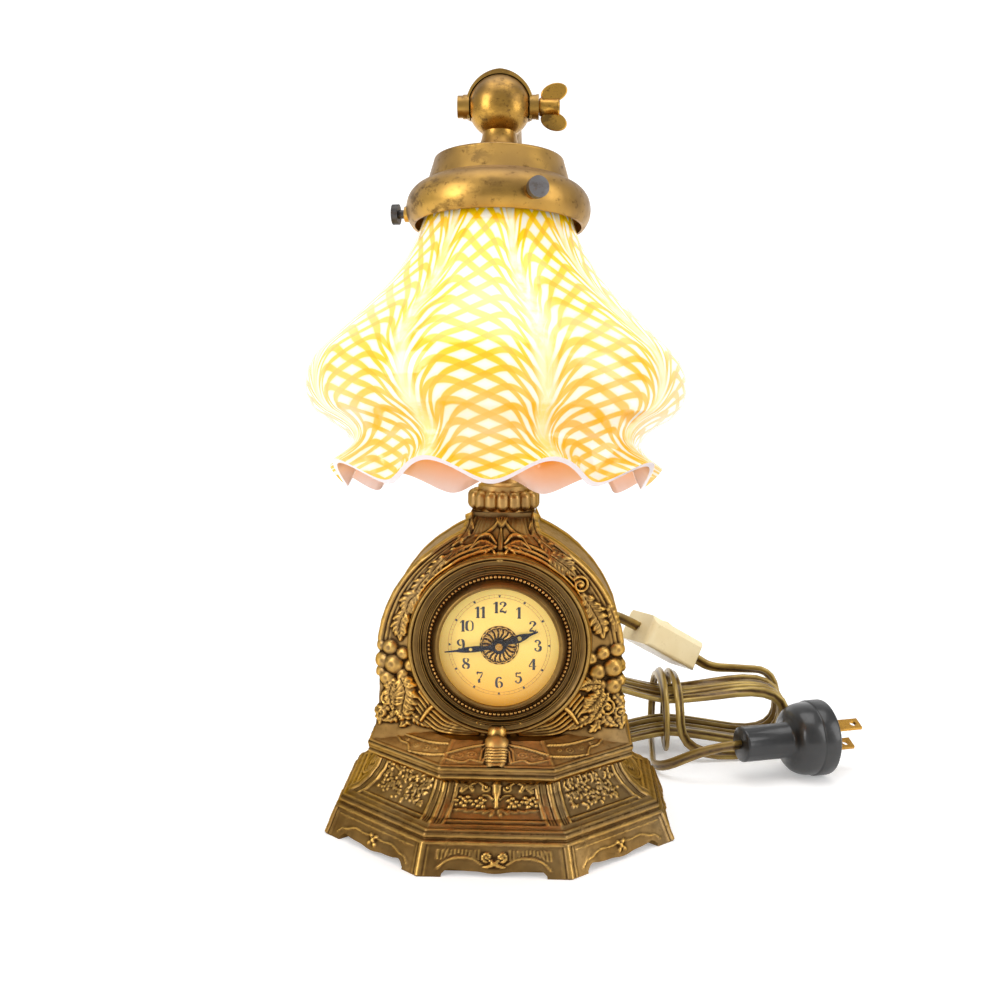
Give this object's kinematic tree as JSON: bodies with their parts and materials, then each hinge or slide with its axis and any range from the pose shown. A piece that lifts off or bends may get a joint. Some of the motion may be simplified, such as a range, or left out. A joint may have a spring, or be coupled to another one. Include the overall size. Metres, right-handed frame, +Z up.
{
  "type": "desk clock lamp",
  "caption": "Table lamp with a small clock in its cast arched base, a bent arm and a tilting head with a ruffled glass shade, switch and plug.",
  "frame": {"origin": "centre of the base on the table", "axes": "+X right seen from the dial's side, +Y to the back, +Z up along the stand"},
  "size_m": [0.2446, 0.2763, 0.3066],
  "materials": {
    "gilt_bronze": "antique gilt, worn",
    "lacquered_brass": "old lacquered brass",
    "bright_brass": "turned and brushed",
    "dark_steel": "darkened",
    "blued_steel": "blued",
    "dial_enamel": "aged cream",
    "base_cover": "black paint",
    "clear_glass": "clear",
    "opal_glass": "opal with drawn threads",
    "bulb_envelope": "frosted",
    "holder_porcelain": "matt white",
    "holder_card": "pressed card",
    "cord_vinyl": "clear brown vinyl",
    "ivory_plastic": "ivory",
    "black_rubber": "moulded"
  },
  "bodies": {
    "stand": {"base_casting": "gilt_bronze", "base_plate": "base_cover", "base_plate_screws": "dark_steel", "case_screws": "dark_steel", "case_shell": "gilt_bronze", "case_back": "lacquered_brass", "case_back_screws": "dark_steel", "clock_bezel": "gilt_bronze", "clock_crystal": "clear_glass", "clock_dial": "dial_enamel", "dial_medallion": "gilt_bronze", "movement_drum": "bright_brass", "movement_cover": "bright_brass", "plate_pillars": "bright_brass", "front_plate": "bright_brass", "back_plate": "bright_brass", "mainspring": "dark_steel", "neck_collar": "gilt_bronze", "arm_tube": "lacquered_brass", "arm_nut": "dark_steel", "swivel_yoke": "lacquered_brass", "swivel_bolt": "lacquered_brass", "swivel_washer": "lacquered_brass", "cord_bushing": "black_rubber", "cord_lead": "cord_vinyl", "cord_link": "cord_vinyl", "cord_hank": "cord_vinyl", "cord_tail": "cord_vinyl", "switch_body": "ivory_plastic", "switch_cover": "ivory_plastic", "plug_body": "black_rubber", "plug_blades": "bright_brass"},
    "head": {"swivel_ball": "lacquered_brass", "shade_holder": "lacquered_brass", "holder_nipple": "bright_brass", "socket_cap": "lacquered_brass", "socket_shell": "lacquered_brass", "socket_liner": "holder_card", "socket_core": "holder_porcelain", "bulb_cap": "bright_brass", "bulb_glass": "bulb_envelope", "glass_shade": "opal_glass"},
    "screw_front": {"thumbscrew_front": "dark_steel"},
    "screw_back": {"thumbscrew_back": "dark_steel"},
    "screw_left": {"thumbscrew_left": "dark_steel"},
    "wing": {"wing_nut": "lacquered_brass"},
    "minute_train": {"centre_arbor": "bright_brass", "minute_hand": "blued_steel", "hand_nut": "bright_brass", "set_knob": "bright_brass"},
    "hour_train": {"hour_wheel": "bright_brass", "hour_hand": "blued_steel"},
    "minute_wheel": {"minute_wheel": "bright_brass"},
    "great_wheel": {"great_wheel": "bright_brass"},
    "winding": {"winding_arbor": "dark_steel", "winding_key": "bright_brass"},
    "balance": {"balance_wheel": "bright_brass"},
    "regulator": {"regulator_lever": "bright_brass"},
    "rocker": {"switch_rocker": "ivory_plastic"}
  },
  "joints": [
    {"name": "head_tilt", "type": "hinge", "parent": "stand", "child": "head", "pos_m": [0, -0.067, 0.293], "axis": [-1, 0, 0], "range_deg": [-3, 60]},
    {"name": "screw_front_travel", "type": "slide", "parent": "head", "child": "screw_front", "axis": [0.3859, -0.9114, 0.1427], "range_m": [0, 0.003]},
    {"name": "screw_back_travel", "type": "slide", "parent": "head", "child": "screw_back", "axis": [0.606, 0.7859, -0.1231], "range_m": [0, 0.003]},
    {"name": "screw_left_travel", "type": "slide", "parent": "head", "child": "screw_left", "axis": [-0.9919, 0.1255, -0.0197], "range_m": [0, 0.003]},
    {"name": "wing_nut_turn", "type": "hinge", "parent": "stand", "child": "wing", "pos_m": [0, -0.067, 0.293], "axis": [1, 0, 0], "range_deg": [0, 270]},
    {"name": "minute_turn", "type": "hinge", "parent": "stand", "child": "minute_train", "pos_m": [0, -0.037, 0.0842], "axis": [0, 1, 0], "continuous": true},
    {"name": "hour_turn", "type": "hinge", "parent": "stand", "child": "hour_train", "pos_m": [0, -0.037, 0.0842], "axis": [0, 1, 0], "continuous": true},
    {"name": "minute_wheel_turn", "type": "hinge", "parent": "stand", "child": "minute_wheel", "pos_m": [0.012, -0.033, 0.0842], "axis": [0, 1, 0], "continuous": true},
    {"name": "great_wheel_turn", "type": "hinge", "parent": "stand", "child": "great_wheel", "pos_m": [0, -0.0253, 0.0708], "axis": [0, 1, 0], "continuous": true},
    {"name": "winding_turn", "type": "hinge", "parent": "stand", "child": "winding", "pos_m": [0, 0, 0.0708], "axis": [0, 1, 0], "range_deg": [-1800, 0]},
    {"name": "balance_swing", "type": "hinge", "parent": "stand", "child": "balance", "pos_m": [0, 0, 0.0982], "axis": [0, 1, 0], "range_deg": [-135, 135]},
    {"name": "regulator_shift", "type": "hinge", "parent": "stand", "child": "regulator", "pos_m": [0, 0.0035, 0.0982], "axis": [0, 1, 0], "range_deg": [-20, 20]},
    {"name": "switch_rock", "type": "hinge", "parent": "stand", "child": "rocker", "pos_m": [0.07931, 0.09629, 0.06122], "axis": [-0.6018, 0.7986, 0], "range_deg": [-16, 0]}
  ],
  "couplings": [
    {"joint": "hour_turn", "follows": "minute_turn", "ratio": 0.083333},
    {"joint": "minute_wheel_turn", "follows": "minute_turn", "ratio": -0.33333},
    {"joint": "great_wheel_turn", "follows": "minute_turn", "ratio": -0.16667}
  ]
}
